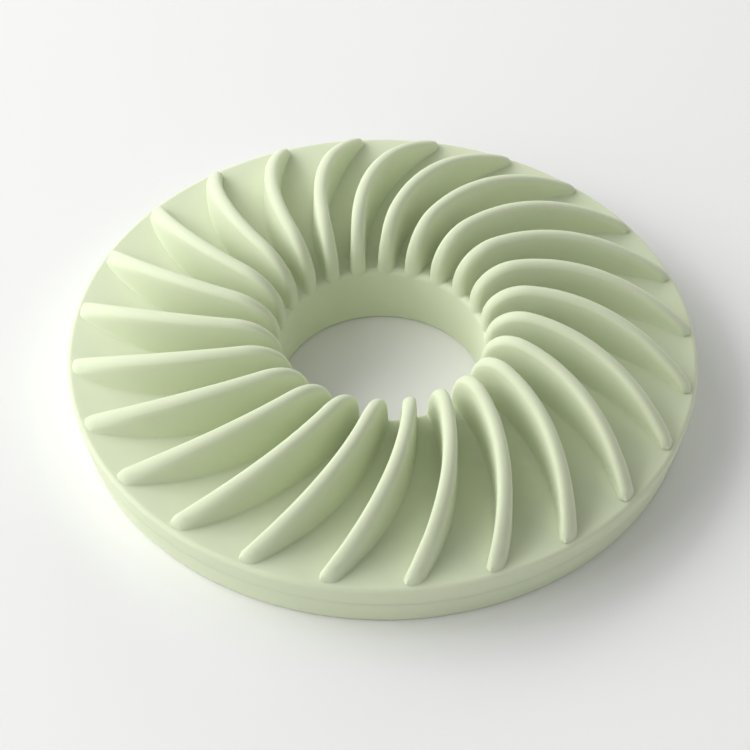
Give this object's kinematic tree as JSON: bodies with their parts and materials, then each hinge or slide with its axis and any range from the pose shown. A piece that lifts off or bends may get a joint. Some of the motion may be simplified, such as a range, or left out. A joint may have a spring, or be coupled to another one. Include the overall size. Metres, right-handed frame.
{
  "type": "vibration dampener",
  "caption": "Round soft silicone dampener for racket strings: a flat ring with a bore and a wreath of swept vanes on its front face, gripping the strings in a slit round its rim.",
  "frame": {"origin": "centre of the back face, on the bore's axis", "axes": "+Z along the bore's axis, towards the vanes; +X through the tip of vane_01"},
  "size_m": [0.03, 0.03, 0.0058],
  "materials": {
    "silicone": "matte"
  },
  "bodies": {
    "root": {"back_flange": "silicone", "front_flange": "silicone", "hub_sleeve": "silicone", "vane_01": "silicone", "vane_02": "silicone", "vane_03": "silicone", "vane_04": "silicone", "vane_05": "silicone", "vane_06": "silicone", "vane_07": "silicone", "vane_08": "silicone", "vane_09": "silicone", "vane_10": "silicone", "vane_11": "silicone", "vane_12": "silicone", "vane_13": "silicone", "vane_14": "silicone", "vane_15": "silicone", "vane_16": "silicone", "vane_17": "silicone", "vane_18": "silicone", "vane_19": "silicone", "vane_20": "silicone", "vane_21": "silicone", "vane_22": "silicone", "vane_23": "silicone", "vane_24": "silicone"}
  },
  "joints": []
}
